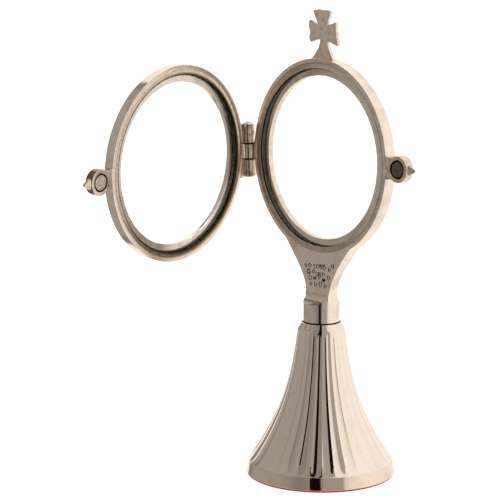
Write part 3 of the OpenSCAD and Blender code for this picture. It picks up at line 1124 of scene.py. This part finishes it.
def knuckle(name, low, high, leaf_side, round_low, round_high):
    """A hinge barrel with a bore and a leaf to its ring."""
    turns = [math.radians(15 * i) for i in range(7)]
    lower = [(BARREL_R - round_low * (1 - math.sin(a)), low + round_low * (1 - math.cos(a))) for a in turns]
    upper = [
        (BARREL_R - round_high * (1 - math.cos(a)), high - round_high * (1 - math.sin(a))) for a in turns]
    piece = turned(name, lower + upper, 48)
    clear_selection()
    width = -HINGE_AT.x - RING_R + 2.2 * MM
    near, far = sorted((leaf_side * 0.4 * MM, leaf_side * 2.1 * MM))
    bpy.ops.mesh.primitive_cube_add(
        size=1, location=(width / 2, (near + far) / 2, (low + high) / 2),
        scale=(width, far - near, high - low - 0.5 * MM))
    leaf = name_piece("hinge_leaf")
    settle(leaf)
    soften(leaf, 0.25 * MM, 2, 40)
    join_solid(piece, leaf)
    bore = turned("pin_bore", [(BORE_R, low - MM), (BORE_R, high + MM)], 32)
    join_solid(piece, bore, "DIFFERENCE")
    place(piece, LEAN)
    cut_ring_space(piece)
    polish(piece, 34)
    coat(piece, finishes()["barrel"], finishes()["grime"])
    flat = LEAN.inverted()

    def by_gap(face):
        height = (flat @ face.calc_center_median()).z
        near_low = round_low < MM and height < low + 0.22 * MM
        return near_low or (round_high < MM and height > high - 0.22 * MM)

    # Painted shade: the barrel ends beside the gaps between knuckles get the dark hollow colour.
    coat_where(piece, 1, by_gap)
    return piece


def build_hinge():
    low, high = stack_span("frame_hinge_knuckle")
    piece = knuckle("stand_knuckle", low, high, 1, 0.25 * MM, 0.25 * MM)
    hand_in(piece, "stand", "cast_plate", "frame_hinge_knuckle")
    back = OPEN_DOOR.inverted()
    for node, name, rounds in (
        ("door_upper_knuckle", "upper_knuckle", (0.25, 1.5)),
        ("door_lower_knuckle", "lower_knuckle", (1.4, 0.25)),
    ):
        low, high = stack_span(node, back)
        piece = knuckle(name, low, high, -1, rounds[0] * MM, rounds[1] * MM)
        hang_door(piece)
        hand_in(piece, "door", "cast_plate", node)
    low, high = stack_span("hinge_pin")
    profile = [
        (0.7 * MM, low), (1.0 * MM, low + 0.08 * MM), (1.1 * MM, low + 0.3 * MM),
        (1.1 * MM, high - 0.3 * MM), (1.0 * MM, high - 0.08 * MM), (0.7 * MM, high),
    ]
    pin = turned("pin", profile, 32)
    place(pin, LEAN)
    polish(pin, 40)
    coat(pin, finishes()["steel"])
    hand_in(pin, "stand", "steel", "hinge_pin")


def finish_fixings():
    for node in ("tie_stud", "stud_washer", "stud_nut"):
        holder = frame["nodes"][node]
        holder.data.materials.clear()
        holder.data.materials.append(finishes()["steel"])


# ---------------------------------------------------------------- stage


# Brightness of the room by direction, in degrees from the front towards the catch's side
ROOM_LEVELS = [
    (-180, 1.12), (-101, 1.1), (-97, 0.3), (-88, 0.27), (-80, 0.4), (-66, 0.42), (-20, 0.41), (5, 0.34),
    (16, 0.27), (28, 0.29), (34, 0.34), (52, 0.36), (57, 0.43), (83, 0.42), (88, 0.9), (100, 1.03),
    (125, 1.14), (160, 1.1), (180, 1.12),
]

LAMP_AT = (0.5, 0.35, 0.75)
LAMP_BACK = (0.5, 0.35, 0.65)
CAMERA_AT = (0.56165, -0.49446, 0.22299)
CAMERA_BACK = (0.76335, -0.62212, 0.17399)
CAMERA_LENS = 137.93


def build_room():
    """Soft light all round: a bright side, a dim side and one dark gap between them."""
    world = bpy.data.worlds.new("soft_room")
    bpy.context.scene.world = world
    world.use_nodes = True
    tree = world.node_tree
    coords = add(tree, "ShaderNodeTexCoord")
    way = fed(tree, "ShaderNodeSeparateXYZ", {"Vector": coords.outputs["Generated"]})
    angle = worked(tree, "ARCTAN2", way.outputs["X"], worked(tree, "MULTIPLY", way.outputs["Y"], -1.0))
    sides = fed(tree, "ShaderNodeValToRGB", {"Fac": ranged(tree, angle, -math.pi, math.pi, 0, 1)})
    ramp = sides.color_ramp
    for degrees, level in ROOM_LEVELS:
        place_on = (degrees + 180) / 360
        stop = ramp.elements.new(place_on) if 0 < place_on < 1 else ramp.elements[int(place_on)]
        warm = 0.84 + 0.05 * min(1, level)
        stop.color = (level, level * (warm + 1) / 2, level * warm, 1)
    gap_middle = ranged(tree, way.outputs["Z"], -0.17, 0.26, math.radians(38.5), math.radians(44))
    away = worked(tree, "ABSOLUTE", worked(tree, "SUBTRACT", angle, gap_middle))
    gap = ranged(tree, away, math.radians(9.3), math.radians(7.5), 0, 1, "SMOOTHSTEP")
    light = mixed(tree, gap, sides.outputs["Color"], (0.008, 0.004, 0.003))
    path = add(tree, "ShaderNodeLightPath")
    seen = worked(tree, "MAXIMUM", path.outputs["Is Camera Ray"], path.outputs["Is Transmission Ray"])
    unmirrored = worked(tree, "LESS_THAN", path.outputs["Glossy Depth"], 0.5)
    backdrop = worked(tree, "MULTIPLY", seen, unmirrored)
    fill(tree, tree.nodes["Background"], {"Color": mixed(tree, backdrop, light, (1.3, 1.3, 1.3))})


def build_floor():
    clear_selection()
    bpy.ops.mesh.primitive_plane_add(size=6, location=(0, 0, -0.00002))
    floor = name_piece("floor")
    material = bpy.data.materials.new("pale_floor")
    material.use_nodes = True
    fill(material.node_tree, material.node_tree.nodes["Principled BSDF"], {
        "Base Color": (0.9, 0.9, 0.89),
        "Roughness": 0.95,
        "Emission Color": (1, 1, 1),
        "Emission Strength": 0.75,
    })
    floor.data.materials.append(material)
    floor.visible_glossy = False
    floor.visible_transmission = False
    clear_selection()


def build_lamp():
    clear_selection()
    bpy.ops.object.light_add(type="AREA", location=LAMP_AT)
    lamp = bpy.context.object
    lamp.name = "soft_lamp"
    lamp.data.shape = "DISK"
    lamp.data.size = 0.6
    lamp.data.energy = 2.0
    lamp.rotation_euler = Vector(LAMP_BACK).to_track_quat("Z", "Y").to_euler()
    lamp.visible_glossy = False
    clear_selection()


def build_camera():
    clear_selection()
    bpy.ops.object.camera_add()
    camera = bpy.context.object
    camera.name = "view_camera"
    back = Vector(CAMERA_BACK).normalized()
    right = Vector((0, 0, 1)).cross(back).normalized()
    up = back.cross(right)
    turn = Matrix((right, up, back)).transposed().to_4x4()
    camera.matrix_world = Matrix.Translation(CAMERA_AT) @ turn
    camera.data.lens = CAMERA_LENS
    camera.data.sensor_width = 36
    camera.data.dof.use_dof = False
    bpy.context.scene.camera = camera
    clear_selection()


# ---------------------------------------------------------------- settings


class MonstranceSizes(bpy.types.PropertyGroup):
    """Sizes of the details that a maker may change."""

    flutes: IntProperty(
        name="Flutes", description="Number of flutes round the bell foot", default=36, min=12, max=60)
    flute_depth: FloatProperty(
        name="Flute depth", description="Depth of a flute as a part of the bell's radius there",
        default=0.013, min=0.0, max=0.04, subtype="FACTOR")
    rim_height: FloatProperty(
        name="Rim height", description="Height of the plain band round the foot",
        default=5.3 * MM, min=2 * MM, max=9 * MM, unit="LENGTH")
    mark_radius: FloatProperty(
        name="Ring mark radius", description="Radius of the small rings punched on the neck",
        default=0.78 * MM, min=0.2 * MM, max=1.2 * MM, unit="LENGTH")


class MonstranceTones(bpy.types.PropertyGroup):
    """Colours of the finishes."""

    plate: FloatVectorProperty(
        name="Plate", description="Colour of the polished silver plate",
        default=(0.84, 0.74, 0.65), subtype="COLOR", min=0, max=1)
    satin: FloatVectorProperty(
        name="Satin plate", description="Colour of the satin faces",
        default=(0.83, 0.71, 0.62), subtype="COLOR", min=0, max=1)
    stain: FloatVectorProperty(
        name="Stain", description="Colour of tarnish on the plate",
        default=(0.46, 0.38, 0.28), subtype="COLOR", min=0, max=1)
    felt: FloatVectorProperty(
        name="Felt", description="Colour of the felt under the foot",
        default=(0.42, 0.02, 0.03), subtype="COLOR", min=0, max=1)
    glass_edge: FloatVectorProperty(
        name="Glass edge", description="Colour of the ground edge of the glass",
        default=(0.045, 0.06, 0.025), subtype="COLOR", min=0, max=1)


# ---------------------------------------------------------------- operators


def operator(identity, label, words, action):
    """An operator class that runs one builder."""

    def execute(self, context):
        action()
        return {"FINISHED"}

    name = "MONSTRANCE_OT_" + identity
    body = {"bl_idname": "monstrance." + identity, "bl_label": label, "__doc__": words, "execute": execute,
            "bl_options": {"REGISTER", "UNDO"}}
    return type(name, (bpy.types.Operator,), body)


def build_stage():
    build_room()
    build_floor()
    build_lamp()
    build_camera()


STEPS = [
    operator("stage", "Stage", "Room light, pale floor and camera", build_stage),
    operator("bell", "Bell foot", "The fluted bell foot", build_bell),
    operator("felt", "Felt pad", "The red felt under the foot", build_felt),
    operator("frame", "Frame and neck", "The round frame with its flat neck and collar", build_frame),
    operator("frame_glass", "Frame glass", "The glass in the frame", build_frame_glass),
    operator("frame_bezel", "Frame ring", "The thin ring that holds the frame's glass", build_frame_bezel),
    operator("cross", "Cross", "The filed cross on top", build_cross),
    operator("bosses", "Catch bosses", "The two bosses that hold the magnets", build_bosses),
    operator("magnets", "Magnets", "The two disc magnets", build_magnets),
    operator("hinge", "Hinge", "Three knuckles and their pin", build_hinge),
    operator("door_ring", "Door ring", "The round ring of the door", build_door_ring),
    operator("door_glass", "Door glass", "The glass in the door", build_door_glass),
    operator(
        "door_bezel", "Door holding ring", "The thin ring that holds the door's glass", build_door_bezel),
    operator("fixings", "Fixings", "Stud, washer and nut inside the bell", finish_fixings),
]


class MONSTRANCE_PT_sidebar(bpy.types.Panel):
    """Lists the steps and the settings."""

    bl_label = "Monstrance"
    bl_idname = "MONSTRANCE_PT_sidebar"
    bl_space_type = "VIEW_3D"
    bl_region_type = "UI"
    bl_category = "Monstrance"

    def draw(self, context):
        for settings in (context.scene.monstrance_sizes, context.scene.monstrance_tones):
            box = self.layout.box()
            for key in settings.__annotations__:
                box.prop(settings, key)
        for step in STEPS:
            self.layout.operator(step.bl_idname)


CLASSES = [MonstranceSizes, MonstranceTones, *STEPS, MONSTRANCE_PT_sidebar]


def register():
    for item in CLASSES:
        bpy.utils.register_class(item)
    bpy.types.Scene.monstrance_sizes = PointerProperty(type=MonstranceSizes)
    bpy.types.Scene.monstrance_tones = PointerProperty(type=MonstranceTones)


def unregister():
    del bpy.types.Scene.monstrance_tones
    del bpy.types.Scene.monstrance_sizes
    for item in reversed(CLASSES):
        bpy.utils.unregister_class(item)


def main():
    register()
    bpy.context.scene.view_settings.view_transform = "Standard"
    for step in STEPS:
        family, action = step.bl_idname.split(".")
        getattr(getattr(bpy.ops, family), action)()


if __name__ == "__main__":
    main()
